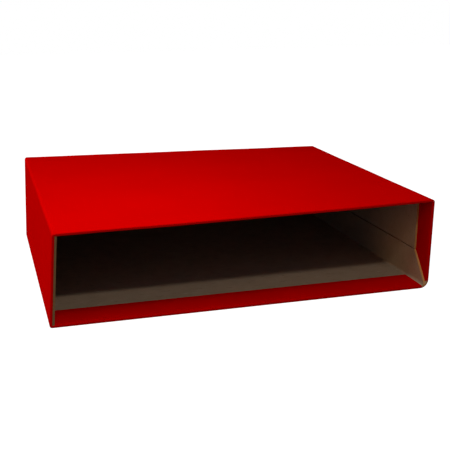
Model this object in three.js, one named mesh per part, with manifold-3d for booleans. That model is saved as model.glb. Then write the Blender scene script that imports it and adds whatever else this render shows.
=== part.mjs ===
// Open-sided archive storage box for one lever arch file, lying on its large side.
// Millimetres. +X runs along the open mouth, +Y goes from the mouth to the back, +Z is up.
// The origin is the middle of the underside. Two pieces make the box: a cut, creased and folded
// grey board, and the covering paper that is glued round it and turned in over the mouth.

import * as THREE from 'three';
import { mergeVertices } from 'three/addons/utils/BufferGeometryUtils.js';
import Module from 'manifold-3d';

// Overall size, with the covering paper on.
const boxWidth = 350;
const boxDepth = 290;
const boxHeight = 85;

// Sheet goods.
const boardThickness = 1.8;
const paperThickness = 0.25;

// Folds. The crease radius is what is left on the innermost surface of a fold.
const creaseRadius = 0.15;
const softCornerRadius = 8;
const softCornerLength = 100;

// Paper turned in over the mouth, measured back from the mouth.
const turnInDepth = 35;

// The two glue flaps inside the right-hand end wall, glued over the turned-in paper. The bottom
// panel sends up the lower one, whose front slants out to the mouth corner, and the top panel
// sends down the upper one, whose front is cut square.
const lowerFlapHeight = 29;
const lowerFlapTipHeight = 1;
const flapSetBack = 24;
const flapBackGap = 3;
const flapGap = 1;

// Bare board left between the two turn-ins at the soft mouth corner.
const notchAlongFloor = 6.5;
const notchUpWall = 7;
const notchDepth = 1.5;

// Facets of each round stretch.
const foldFacets = 6;
const backFoldFacets = 4;

// How far a cutting tool runs past what it cuts, and how near two vertices are the same one.
const runOut = 5;
const weldDistance = 1e-4;

const wasm = await Module();
wasm.setup();

const halfWidth = boxWidth / 2;
const mouthY = -boxDepth / 2;
const backY = boxDepth / 2;

// Depths below the outer surface at which one layer ends and the next begins.
const boardOuter = paperThickness;
const boardInner = boardOuter + boardThickness;
const turnInInner = boardInner + paperThickness;
const layerInner = turnInInner + boardThickness;
const foldRadius = turnInInner + creaseRadius;

// A glued layer is taken from the middle of the board behind it, so that the two are one solid.
const midBoard = boardOuter + boardThickness / 2;

function toSolid(geometry) {
  const bare = geometry.index ? geometry.clone() : geometry;
  bare.deleteAttribute('normal');
  bare.deleteAttribute('uv');
  const merged = mergeVertices(bare, weldDistance);
  return new wasm.Manifold(new wasm.Mesh({
    numProp: 3,
    vertProperties: new Float32Array(merged.attributes.position.array),
    triVerts: new Uint32Array(merged.index.array),
  }));
}

function toGeometry(solid) {
  const mesh = solid.getMesh();
  const geometry = new THREE.BufferGeometry();
  geometry.setAttribute('position', new THREE.BufferAttribute(mesh.vertProperties, 3));
  geometry.setIndex(new THREE.BufferAttribute(mesh.triVerts, 1));
  const faceted = geometry.toNonIndexed();
  faceted.computeVertexNormals();
  return faceted;
}

function block(low, high) {
  const size = high.map((value, axis) => value - low[axis]);
  const geometry = new THREE.BoxGeometry(...size);
  geometry.translate(...high.map((value, axis) => (value + low[axis]) / 2));
  return toSolid(geometry);
}

// One rounded rectangle across the box, counter-clockwise as seen from the mouth.
function ring(y, inset, rightInset, radius, softRadius) {
  const left = -halfWidth + inset;
  const right = halfWidth - rightInset;
  const low = inset;
  const high = boxHeight - inset;
  const corners = [
    { x: right, z: low, radius: softRadius, sideX: -1, sideZ: 1, start: -Math.PI / 2 },
    { x: right, z: high, radius, sideX: -1, sideZ: -1, start: 0 },
    { x: left, z: high, radius, sideX: 1, sideZ: -1, start: Math.PI / 2 },
    { x: left, z: low, radius, sideX: 1, sideZ: 1, start: Math.PI },
  ];
  const points = [];
  for (const corner of corners) {
    const centreX = corner.x + corner.sideX * corner.radius;
    const centreZ = corner.z + corner.sideZ * corner.radius;
    for (let step = 0; step <= foldFacets; step += 1) {
      const angle = corner.start + (step / foldFacets) * Math.PI / 2;
      points.push(new THREE.Vector3(
        centreX + corner.radius * Math.cos(angle),
        y,
        centreZ + corner.radius * Math.sin(angle),
      ));
    }
  }
  return points;
}

// Skins a row of rings, front to back, and closes both ends.
function loft(rings) {
  const count = rings[0].length;
  const index = [];
  for (let row = 0; row + 1 < rings.length; row += 1) {
    for (let i = 0; i < count; i += 1) {
      const next = (i + 1) % count;
      const a = row * count + i;
      const b = row * count + next;
      const c = b + count;
      const d = a + count;
      index.push(a, d, c, a, c, b);
    }
  }
  const last = (rings.length - 1) * count;
  for (let i = 1; i + 1 < count; i += 1) {
    index.push(0, i, i + 1);
    index.push(last, last + i + 1, last + i);
  }
  const geometry = new THREE.BufferGeometry().setFromPoints(rings.flat());
  geometry.setIndex(index);
  return toSolid(geometry);
}

// The whole box as one filled form, taken in by an inset on every side but the mouth.
// The right-hand side may be taken in further. The bottom right fold is soft at the mouth and
// tightens to the other folds' radius.
function filledForm(inset, rightInset = inset) {
  const radius = foldRadius - inset;
  const softRadius = softCornerRadius - rightInset;
  const backRadius = radius - creaseRadius / 2;
  const rings = [
    ring(mouthY - runOut, inset, rightInset, radius, softRadius),
    ring(mouthY + paperThickness, inset, rightInset, radius, softRadius),
    ring(mouthY + softCornerLength, inset, rightInset, radius, radius),
  ];
  for (let step = 0; step <= backFoldFacets; step += 1) {
    const angle = (step / backFoldFacets) * Math.PI / 2;
    const taken = backRadius * (1 - Math.cos(angle));
    const y = backY - inset - backRadius + backRadius * Math.sin(angle);
    rings.push(ring(y, inset + taken, rightInset + taken, radius - taken, radius - taken));
  }
  return loft(rings);
}

// A slice of the box between two distances back from the mouth.
function slice(from, to) {
  return block(
    [-halfWidth - runOut, mouthY + from, -runOut],
    [halfWidth + runOut, mouthY + to, boxHeight + runOut],
  );
}

const outside = filledForm(0);
const underPaper = filledForm(boardOuter);
const insideBoard = filledForm(boardInner);
const insideTurnIn = filledForm(turnInInner);
const insideFlaps = filledForm(boardInner, layerInner);
const wholeDepth = slice(0, boxDepth + runOut);

// Turned-in paper on one end wall, from floor to ceiling, and round the folds to both of them.
function endWallTurnIn(side) {
  const near = side * (halfWidth - foldRadius);
  const far = side * (halfWidth + runOut);
  const wall = block(
    [Math.min(near, far), mouthY, -runOut],
    [Math.max(near, far), mouthY + turnInDepth, boxHeight + runOut],
  );
  return insideBoard.subtract(insideTurnIn).intersect(wall);
}

// Turned-in paper on the floor or the ceiling.
function panelTurnIn(fromZ, toZ) {
  const panel = block(
    [-halfWidth - runOut, mouthY, fromZ],
    [halfWidth + runOut, mouthY + turnInDepth, toZ],
  );
  return insideBoard.subtract(insideTurnIn).intersect(panel);
}

const wallSheets = endWallTurnIn(-1).add(endWallTurnIn(1));
const panelSheets = panelTurnIn(-runOut, foldRadius)
  .add(panelTurnIn(boxHeight - foldRadius, boxHeight + runOut));

// The raw inner layer of the left-hand end wall, full height and flush with the mouth.
function leftLayer() {
  return block(
    [-halfWidth + midBoard, mouthY, midBoard],
    [-halfWidth + layerInner, backY - midBoard, boxHeight - midBoard],
  );
}

// One glue flap on the right-hand end wall. Its outline is drawn in Y and Z, and its inner face
// follows the fold that it hangs on.
function glueFlap(corners) {
  const outline = new THREE.Shape(corners.map(([y, z]) => new THREE.Vector2(y, z)));
  const reach = layerInner + softCornerRadius;
  const geometry = new THREE.ExtrudeGeometry(outline, {
    depth: reach - midBoard,
    bevelEnabled: false,
  });
  // The extrusion is turned to run along X.
  geometry.applyMatrix4(new THREE.Matrix4().makeBasis(
    new THREE.Vector3(0, 1, 0),
    new THREE.Vector3(0, 0, 1),
    new THREE.Vector3(1, 0, 0),
  ));
  geometry.translate(halfWidth - reach, 0, 0);
  return toSolid(geometry).subtract(insideFlaps);
}

const flapBack = backY - boardInner - flapBackGap;
const lowerFlapTop = boardInner + lowerFlapHeight;
const lowerFlap = glueFlap([
  [mouthY, midBoard],
  [flapBack, midBoard],
  [flapBack, lowerFlapTop],
  [mouthY + flapSetBack, lowerFlapTop],
  [mouthY, boardInner + lowerFlapTipHeight],
]);
const upperFlap = glueFlap([
  [mouthY + flapSetBack, lowerFlapTop + flapGap],
  [flapBack, lowerFlapTop + flapGap],
  [flapBack, boxHeight - midBoard],
  [mouthY + flapSetBack, boxHeight - midBoard],
]);

const boardBlank = underPaper.intersect(slice(paperThickness, boxDepth + runOut));
const board = boardBlank
  .subtract(insideBoard)
  .add(leftLayer().add(lowerFlap).add(upperFlap).intersect(boardBlank))
  .subtract(wallSheets);

// The paper stops short on both sides of the soft mouth corner.
const cornerNotch = block(
  [halfWidth - notchAlongFloor, mouthY - runOut, -runOut],
  [halfWidth + runOut, mouthY + notchDepth, notchUpWall],
).intersect(underPaper);

const mouthEdge = outside.subtract(insideTurnIn).intersect(slice(0, paperThickness));
const paper = outside
  .subtract(underPaper)
  .intersect(wholeDepth)
  .add(mouthEdge)
  .add(wallSheets)
  .add(panelSheets)
  .subtract(board)
  .subtract(cornerNotch);

function piece(name, solid, colour, roughness) {
  const material = new THREE.MeshStandardMaterial({ color: colour, roughness, metalness: 0 });
  const mesh = new THREE.Mesh(toGeometry(solid), material);
  mesh.name = name;
  return mesh;
}

const storageBox = new THREE.Group();
storageBox.add(piece('board_carcass', board, 0x8a7360, 0.95));
storageBox.add(piece('covering_paper', paper, 0xc80606, 0.45));

export default storageBox;
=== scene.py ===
import math

import bmesh
import bpy
from mathutils import Matrix, Vector, noise


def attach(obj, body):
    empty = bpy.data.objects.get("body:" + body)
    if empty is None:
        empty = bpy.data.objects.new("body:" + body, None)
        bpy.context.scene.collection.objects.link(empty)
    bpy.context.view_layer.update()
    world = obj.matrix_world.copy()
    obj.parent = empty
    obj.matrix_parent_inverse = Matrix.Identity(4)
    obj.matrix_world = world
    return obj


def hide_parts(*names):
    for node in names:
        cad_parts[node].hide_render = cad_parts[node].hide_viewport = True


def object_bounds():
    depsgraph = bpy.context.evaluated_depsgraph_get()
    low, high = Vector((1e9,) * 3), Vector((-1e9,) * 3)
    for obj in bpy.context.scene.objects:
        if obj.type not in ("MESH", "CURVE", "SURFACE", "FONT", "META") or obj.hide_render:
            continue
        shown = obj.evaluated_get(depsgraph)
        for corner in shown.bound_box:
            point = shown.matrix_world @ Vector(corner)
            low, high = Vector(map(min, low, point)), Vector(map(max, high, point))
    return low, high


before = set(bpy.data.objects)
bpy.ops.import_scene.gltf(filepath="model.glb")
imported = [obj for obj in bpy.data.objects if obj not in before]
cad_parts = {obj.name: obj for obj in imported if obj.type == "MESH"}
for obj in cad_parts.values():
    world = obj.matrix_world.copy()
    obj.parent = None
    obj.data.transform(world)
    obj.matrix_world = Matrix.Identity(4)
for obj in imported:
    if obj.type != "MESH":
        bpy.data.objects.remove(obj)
cadLow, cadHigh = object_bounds()
mm = 0.001


# Colours and nodes

# sockets of a colour mix, which have the same names as those of its other modes
firstColour, secondColour, mixedColour = 6, 7, 2


def linearColour(hexText):
    channels = [int(hexText[i:i + 2], 16) / 255 for i in (1, 3, 5)]
    return [c / 12.92 if c <= 0.04045 else ((c + 0.055) / 1.055) ** 2.4 for c in channels] + [1.0]


def addNode(tree, kind, links=None, **settings):
    # settings name a property of the node, or else one of its sockets
    node = tree.nodes.new(kind)
    for name, value in settings.items():
        if hasattr(node, name):
            setattr(node, name, value)
        else:
            node.inputs[name.replace("_", " ")].default_value = value
    for socket, source in (links or {}).items():
        tree.links.new(source, node.inputs[socket])
    return node


def newMaterial(name):
    material = bpy.data.materials.new(name)
    material.use_nodes = True
    material.node_tree.nodes.clear()
    return material, material.node_tree


def finishMaterial(tree, shader):
    addNode(tree, "ShaderNodeOutputMaterial", {"Surface": shader.outputs[0]})


def seenRays(tree):
    # 1 for what the camera sees, also in a reflection or through glass, and 0 for all other light
    rays = addNode(tree, "ShaderNodeLightPath")
    seen = rays.outputs["Is Camera Ray"]
    for name in ("Is Glossy Ray", "Is Transmission Ray"):
        either = addNode(tree, "ShaderNodeMath", {0: seen, 1: rays.outputs[name]},
                         operation="MAXIMUM")
        seen = either.outputs[0]
    return seen


# Covering paper: paper printed solid red, and glued down tight.
# The eye gets an even, deep, matt red with a faint cloudiness and a fine tooth.

paperFinish = {
    "red": "#cf0000",
    "cloudyRed": "#c40000",
    "clouds": {"Scale": 1 / (70 * mm), "Detail": 4.0, "Roughness": 0.55},
    "swell": {"Scale": 1 / (45 * mm), "Detail": 1.0},
    "swellHeight": 0.12 * mm,
    # the real tooth is about 0.2 mm, and is drawn coarser so that it shows
    "tooth": {"Scale": 1 / (0.9 * mm), "Detail": 3.0},
    "toothHeight": 0.02 * mm,
    "roughness": 0.85,
    "specular": 0.0,
}


def coveringPaper():
    look = paperFinish
    material, tree = newMaterial("printedCoveringPaper")
    place = addNode(tree, "ShaderNodeTexCoord").outputs["Object"]
    clouds = addNode(tree, "ShaderNodeTexNoise", {"Vector": place}, **look["clouds"])
    swell = addNode(tree, "ShaderNodeTexNoise", {"Vector": place}, **look["swell"])
    tooth = addNode(tree, "ShaderNodeTexNoise", {"Vector": place}, **look["tooth"])
    colour = addNode(tree, "ShaderNodeMix", {"Factor": clouds.outputs["Fac"]}, data_type="RGBA")
    colour.inputs[firstColour].default_value = linearColour(look["red"])
    colour.inputs[secondColour].default_value = linearColour(look["cloudyRed"])
    swellBump = addNode(tree, "ShaderNodeBump", {"Height": swell.outputs["Fac"]},
                        Distance=look["swellHeight"], Strength=1.0)
    toothBump = addNode(tree, "ShaderNodeBump", {"Height": tooth.outputs["Fac"],
                                                 "Normal": swellBump.outputs["Normal"]},
                        Distance=look["toothHeight"], Strength=1.0)
    shader = addNode(tree, "ShaderNodeBsdfPrincipled",
                     {"Base Color": colour.outputs[mixedColour],
                      "Normal": toothBump.outputs["Normal"]},
                     Roughness=look["roughness"], Specular_IOR_Level=look["specular"])
    finishMaterial(tree, shader)
    return material


# Raw board: unbleached grey-brown chipboard made from waste paper.
# The eye gets a matt, warm grey with clouds of pulp, a grain along the sheet and loose flecks.

boardFinish = {
    "grey": "#a08166",
    "paleGrey": "#b29378",
    "clouds": {"Scale": 1 / (14 * mm), "Detail": 5.0, "Roughness": 0.6},
    "grain": {"Scale": 1 / (1.6 * mm), "Detail": 3.0, "Roughness": 0.6},
    "grainStretch": 6.0,  # length of the grain and the flecks against their width
    "feltHeight": 0.05 * mm,
    "flecks": {"Scale": 1 / (2.2 * mm), "Detail": 2.0, "Roughness": 0.7},
    # the noise value where flecks begin, the one where they are full, and how much they hide there
    "darkFlecks": {"tint": "#5a4432", "begin": 0.62, "full": 0.74, "most": 0.6},
    "paleFlecks": {"tint": "#ccb59e", "begin": 0.36, "full": 0.26, "most": 0.5},
    "roughness": 0.95,
    "specular": 0.05,
}


def rawBoard():
    look = boardFinish
    material, tree = newMaterial("rawGreyboard")
    place = addNode(tree, "ShaderNodeTexCoord").outputs["Object"]
    along = addNode(tree, "ShaderNodeMapping", {"Vector": place},
                    Scale=(1 / look["grainStretch"], 1.0, 1.0)).outputs[0]
    clouds = addNode(tree, "ShaderNodeTexNoise", {"Vector": place}, **look["clouds"])
    grain = addNode(tree, "ShaderNodeTexNoise", {"Vector": along}, **look["grain"])
    flecks = addNode(tree, "ShaderNodeTexNoise", {"Vector": along}, **look["flecks"])
    colour = addNode(tree, "ShaderNodeMix", {"Factor": clouds.outputs["Fac"]}, data_type="RGBA")
    colour.inputs[firstColour].default_value = linearColour(look["grey"])
    colour.inputs[secondColour].default_value = linearColour(look["paleGrey"])
    for kind in ("darkFlecks", "paleFlecks"):
        fleck = look[kind]
        amount = addNode(tree, "ShaderNodeMapRange", {"Value": flecks.outputs["Fac"]},
                         From_Min=fleck["begin"], From_Max=fleck["full"],
                         To_Min=0.0, To_Max=fleck["most"])
        colour = addNode(tree, "ShaderNodeMix", {"Factor": amount.outputs[0],
                                                 firstColour: colour.outputs[mixedColour]},
                         data_type="RGBA")
        colour.inputs[secondColour].default_value = linearColour(fleck["tint"])
    felt = addNode(tree, "ShaderNodeBump", {"Height": grain.outputs["Fac"]},
                   Distance=look["feltHeight"], Strength=1.0)
    shader = addNode(tree, "ShaderNodeBsdfPrincipled",
                     {"Base Color": colour.outputs[mixedColour], "Normal": felt.outputs["Normal"]},
                     Roughness=look["roughness"], Specular_IOR_Level=look["specular"])
    finishMaterial(tree, shader)
    return material


# Cut edge of the board: the same pulp, die-cut, so that its plies and loose fibres show.
# The eye gets a warmer and rougher line than the sheet's face. On the right-hand edges, the flaps
# among them, the cut is frayed into coarser fibres, and its pulp and ply are painted paler there: a
# painted highlight where the lamps from the front left fall on these edges.

cutFinish = {
    "name": "dieCutBoardEdge",
    "pulp": "#936a43",
    "ply": "#66462d",
    "plies": {"Scale": 1 / (0.45 * mm), "Detail": 1.0},
    "fibres": {"Scale": 1 / (0.8 * mm), "Detail": 4.0, "Roughness": 0.7},
    "fibreHeight": 0.12 * mm,
    "roughness": 1.0,
    "specular": 0.0,
}

# right-hand copy: coarser, frayed fibres, with pulp and ply painted paler as a painted highlight
frayedFinishWithPaintedHighlight = {
    **cutFinish,
    "name": "frayedBoardEdgeWithPaintedHighlight",
    "pulp": "#d3924f",
    "ply": "#a06a3b",
    "fibres": {"Scale": 1 / (1.1 * mm), "Detail": 4.0, "Roughness": 0.7},
    "fibreHeight": 0.2 * mm,
}


def cutBoard(look):
    material, tree = newMaterial(look["name"])
    place = addNode(tree, "ShaderNodeTexCoord").outputs["Object"]
    fibres = addNode(tree, "ShaderNodeTexNoise", {"Vector": place}, **look["fibres"])
    plies = addNode(tree, "ShaderNodeTexNoise", {"Vector": place}, **look["plies"])
    colour = addNode(tree, "ShaderNodeMix", {"Factor": plies.outputs["Fac"]}, data_type="RGBA")
    colour.inputs[firstColour].default_value = linearColour(look["pulp"])
    colour.inputs[secondColour].default_value = linearColour(look["ply"])
    fuzz = addNode(tree, "ShaderNodeBump", {"Height": fibres.outputs["Fac"]},
                   Distance=look["fibreHeight"], Strength=1.0)
    shader = addNode(tree, "ShaderNodeBsdfPrincipled",
                     {"Base Color": colour.outputs[mixedColour], "Normal": fuzz.outputs["Normal"]},
                     Roughness=look["roughness"], Specular_IOR_Level=look["specular"])
    finishMaterial(tree, shader)
    return material


# Camera: the photograph's own angle, fitted to the seven corners that it shows.

cameraPlace = {
    "azimuth": -16.30,
    "elevation": 15.40,
    "roll": -0.18,
    "distance": 0.890,
    "target": (18.6 * mm, 0.0, 35.5 * mm),
    "focalPixels": 858.0,
    "imagePixels": 450.0,
    "sensorWidth": 36.0,  # in millimetres, as Blender has it
    "clipStart": 10 * mm,
}


def makeCamera():
    look = cameraPlace
    azimuth = math.radians(look["azimuth"])
    elevation = math.radians(look["elevation"])
    back = Vector((math.sin(azimuth) * math.cos(elevation),
                   -math.cos(azimuth) * math.cos(elevation),
                   math.sin(elevation)))
    data = bpy.data.cameras.new("photoCamera")
    data.sensor_width = look["sensorWidth"]
    data.lens = look["focalPixels"] / look["imagePixels"] * look["sensorWidth"]
    data.clip_start = look["clipStart"]
    camera = bpy.data.objects.new("photoCamera", data)
    bpy.context.collection.objects.link(camera)
    camera.location = Vector(look["target"]) + back * look["distance"]
    turn = (-back).to_track_quat("-Z", "Y").to_matrix()
    camera.rotation_euler = (turn @ Matrix.Rotation(math.radians(look["roll"]), 3, "Z")).to_euler()
    bpy.context.scene.camera = camera
    print("camera placed")


# Lamps: softboxes overhead, above the mouth, on the left and low at the front left, a small one
# close over the near left corner, a front lamp that throws the top panel's shadow on the floor, and
# a fill for the two sides that the photograph does not show. Metres and watts.

lamps = {
    "overhead": {"place": (-0.4, 0.3, 0.8), "aim": (-0.15, 0.1, 0.0),
                 "size": 0.6, "power": 1.6, "tone": "#ffffff"},
    "steep": {"place": (-0.1, -0.6, 1.3), "aim": (0.0, -0.12, 0.0),
              "size": 0.25, "power": 3.0, "tone": "#ffffff"},
    "left": {"place": (-0.9, 0.1, 0.25), "aim": (0.0, 0.0, 0.0),
             "size": 0.5, "power": 2.55, "tone": "#ffffff"},
    "low": {"place": (-1.2, -0.43, 0.25), "aim": (0.0, 0.0, 0.0),
            "size": 0.25, "power": 1.45, "tone": "#ffd9a0"},
    "near": {"place": (-0.11, -0.14, 0.37), "aim": (-0.15, -0.14, 0.0),
             "size": 0.16, "power": 0.45, "tone": "#ffffff"},
    "front": {"place": (-0.05, -1.55, 1.58), "aim": (0.0, 0.0, 0.0),
              "size": 0.16, "power": 7.5, "tone": "#f4ffff"},
    "behind": {"place": (1.4, 1.4, 0.28), "aim": (0.0, 0.0, 0.0),
               "size": 0.5, "power": 9.0, "tone": "#ffffff"},
}


def makeLamps():
    for name, look in lamps.items():
        data = bpy.data.lights.new(name + "Lamp", "AREA")
        data.shape = "DISK"
        data.size = look["size"]
        data.energy = look["power"]
        data.color = linearColour(look["tone"])[:3]
        lamp = bpy.data.objects.new(name + "Lamp", data)
        bpy.context.collection.objects.link(lamp)
        lamp.location = look["place"]
        aim = Vector(look["aim"]) - Vector(look["place"])
        lamp.rotation_euler = aim.to_track_quat("-Z", "Y").to_euler()
    print("lamps placed")


# Room: white where it is seen, and a cool, dim light from its walls, so that the lamps do the rest.

roomLook = {"seen": "#ffffff", "light": "#506877", "strength": 1.0}


def makeRoom():
    look = roomLook
    world = bpy.data.worlds.new("paleStudio")
    world.use_nodes = True
    bpy.context.scene.world = world
    tree = world.node_tree
    tree.nodes.clear()
    tone = addNode(tree, "ShaderNodeMix", {"Factor": seenRays(tree)}, data_type="RGBA")
    tone.inputs[firstColour].default_value = linearColour(look["light"])
    tone.inputs[secondColour].default_value = linearColour(look["seen"])
    sky = addNode(tree, "ShaderNodeBackground", {"Color": tone.outputs[mixedColour]},
                  Strength=look["strength"])
    addNode(tree, "ShaderNodeOutputWorld", {"Surface": sky.outputs[0]})
    print("room lit")


# Floor: a pale table top that shows white to the camera and keeps the box's shadow.

floorLook = {
    "size": 6.0,  # in metres
    "drop": 0.2 * mm,  # keeps it clear of the box's underside
    "tone": "#8c8c8c",
    "glow": 1.0,  # where it is seen, and no light on the box
}


def makeFloor():
    look = floorLook
    shape = bmesh.new()
    bmesh.ops.create_grid(shape, x_segments=1, y_segments=1, size=look["size"] / 2,
                          matrix=Matrix.Translation((0, 0, -look["drop"])))
    mesh = bpy.data.meshes.new("tableTop")
    shape.to_mesh(mesh)
    shape.free()
    floor = bpy.data.objects.new("tableTop", mesh)
    bpy.context.collection.objects.link(floor)
    material, tree = newMaterial("paleTableTop")
    matt = addNode(tree, "ShaderNodeBsdfDiffuse", Color=linearColour(look["tone"]))
    glow = addNode(tree, "ShaderNodeEmission", Strength=look["glow"])
    both = addNode(tree, "ShaderNodeAddShader", {0: matt.outputs[0], 1: glow.outputs[0]})
    choice = addNode(tree, "ShaderNodeMixShader", {0: seenRays(tree), 1: matt.outputs[0],
                                                   2: both.outputs[0]})
    finishMaterial(tree, choice)
    mesh.materials.append(material)
    print("floor laid")


# Slump: nothing holds the sheets square at the open mouth, so the end walls lean there, the top
# panel hangs a little, and its back left corner stands up. The corners are those of the photograph.
# Both sheets follow the same bend, so they stay together.

slump = {
    # how far each corner sits from its square place, in millimetres along X, Y and Z
    "frontLeft": (5.3, -2.0, -3.4),
    "frontRight": (1.5, -0.7, 0.3),
    "backLeft": (3.0, 0.5, 6.5),
    "backRight": (-0.8, 0.4, 0.8),
    "footLeft": (-0.9, 0.0, 0.0),
    "topHang": 0.6 * mm,  # sag of the top panel, most in the middle of the mouth
    "wallBow": 0.5 * mm,  # swell of the end walls
    "waveHeight": 0.25 * mm,
    "waveLength": 70 * mm,
    "waveSeed": 1,
}

noise.seed_set(slump["waveSeed"])  # without a seed the waves would follow the clock


def slumped(place):
    look = slump
    side = (place.x - cadLow.x) / (cadHigh.x - cadLow.x)
    depth = (place.y - cadLow.y) / (cadHigh.y - cadLow.y)
    height = (place.z - cadLow.z) / (cadHigh.z - cadLow.z)
    front = Vector(look["frontLeft"]).lerp(Vector(look["frontRight"]), side)
    back = Vector(look["backLeft"]).lerp(Vector(look["backRight"]), side)
    top = front.lerp(back, depth) * mm
    foot = Vector(look["footLeft"]) * (1 - side) * mm
    hang = look["topHang"] * math.sin(math.pi * side) * (1 - depth)
    bow = look["wallBow"] * (2 * side - 1) * math.sin(math.pi * height) * math.sin(math.pi * depth)
    wave = noise.noise_vector(place / look["waveLength"]) * look["waveHeight"]
    move = foot.lerp(top + wave - Vector((0.0, 0.0, hang)), height)
    return place + move + Vector((bow, 0.0, 0.0))


# Mouth rim: the paper is drawn tight over the cut edge of the board, which rounds it.

rim = {
    "thickness": 2.3 * mm,  # paper, board and paper again
    "radius": 0.5 * mm,
    "steps": 3,
    "foldRadius": 2.45 * mm,
    "softRadius": 8.0 * mm,  # of the bottom right fold
    "slack": 1.01,  # lets through what rounding puts just under the panel's inner face
}


def rimRounded(place):
    # squeezes the thickness of the panel towards its middle as it nears the mouth
    look = rim
    behind = place.y - cadLow.y
    if behind >= look["radius"]:
        return place
    middle = (cadLow + cadHigh) / 2
    half = (cadHigh - cadLow) / 2
    offset = Vector((place.x - middle.x, 0.0, place.z - middle.z))
    isSoft = offset.x > 0 and offset.z < 0
    bend = look["softRadius"] if isSoft else look["foldRadius"]
    past = Vector((abs(offset.x) - half.x + bend, 0.0, abs(offset.z) - half.z + bend))
    if past.x > 0 and past.z > 0:
        depth = bend - past.length
        outward = past.normalized()
    elif past.x > past.z:
        depth = bend - past.x
        outward = Vector((1.0, 0.0, 0.0))
    else:
        depth = bend - past.z
        outward = Vector((0.0, 0.0, 1.0))
    if depth > look["thickness"] * look["slack"]:
        return place
    outward = Vector((math.copysign(outward.x, offset.x), 0.0, math.copysign(outward.z, offset.z)))
    halfThick = look["thickness"] / 2
    ahead = look["radius"] - behind
    drop = look["radius"] - math.sqrt(max(0.0, look["radius"] ** 2 - ahead ** 2))
    return place + outward * ((depth - halfThick) * drop / halfThick)


# Sheets: board and paper, each a merged copy of its CAD sheet, cut into cells and bent.

sheetFace, leftEdge, flapEdge = 0, 1, 2  # places in a sheet's list of materials

sheetMesh = {
    "cell": 10 * mm,  # the sheets are cut into cells of this size, so that they can bend
    "foldMargin": 3.2 * mm,  # a narrow strip beside each fold keeps its shading off the panel
    "merge": 0.001 * mm,
    "sharpAngle": 35.0,
}


def cutEvery(shape, axis, places):
    normal = Vector([1.0 if i == axis else 0.0 for i in range(3)])
    for place in places:
        bmesh.ops.bisect_plane(shape, geom=shape.verts[:] + shape.edges[:] + shape.faces[:],
                               dist=sheetMesh["merge"], plane_co=normal * place, plane_no=normal)


def bentSheet(nodeName, pieceName, materials, pickMaterial):
    look = sheetMesh
    shape = bmesh.new()
    shape.from_mesh(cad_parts[nodeName].data)
    bmesh.ops.remove_doubles(shape, verts=shape.verts, dist=look["merge"])
    for axis in range(3):
        low, high = cadLow[axis], cadHigh[axis]
        count = round((high - low) / look["cell"])
        places = [low + (high - low) * step / count for step in range(1, count)]
        cutEvery(shape, axis, places + [low + look["foldMargin"], high - look["foldMargin"]])
    # closer cuts just behind the mouth, along Y, so that the rim comes out round
    quarter = math.pi / 2
    cutEvery(shape, 1, [cadLow.y + rim["radius"] * (1 - math.cos(quarter * step / rim["steps"]))
                        for step in range(1, rim["steps"] + 1)])
    bmesh.ops.dissolve_degenerate(shape, edges=shape.edges, dist=look["merge"])
    shape.normal_update()
    for face in shape.faces:
        face.material_index = pickMaterial(face)
        face.smooth = True
    for vert in shape.verts:
        vert.co = slumped(rimRounded(vert.co))
    shape.normal_update()
    for edge in shape.edges:
        edge.smooth = edge.calc_face_angle(0.0) < math.radians(look["sharpAngle"])
    mesh = bpy.data.meshes.new(pieceName)
    shape.to_mesh(mesh)
    shape.free()
    for material in materials:
        mesh.materials.append(material)
    piece = bpy.data.objects.new(pieceName, mesh)
    bpy.context.collection.objects.link(piece)
    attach(piece, "root")
    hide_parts(nodeName)
    print(pieceName, "made with", len(mesh.polygons), "faces")


# Folded board: raw on its faces, with the cut edges that show at the mouth.

cutEdges = {
    "facing": -0.3,  # a cut edge looks at least this far towards the mouth
    "reach": 30 * mm,  # and lies no deeper than the flaps' fronts
}


def boardMaterial(face):
    middle = face.calc_center_median()
    if face.normal.y > cutEdges["facing"] or middle.y > cadLow.y + cutEdges["reach"]:
        return sheetFace
    # the right-hand cut edges take the copy with the painted highlight
    return flapEdge if middle.x > 0 else leftEdge


def makeBoard():
    bentSheet("board_carcass", "foldedBoard",
              [rawBoard(), cutBoard(cutFinish), cutBoard(frayedFinishWithPaintedHighlight)], boardMaterial)


# Wrapped paper: one material all over.

def makePaper():
    bentSheet("covering_paper", "wrappedPaper", [coveringPaper()],
              lambda face: sheetFace)


bpy.context.scene.view_settings.view_transform = "Standard"
makeCamera()
makeLamps()
makeRoom()
makeFloor()
makeBoard()
makePaper()
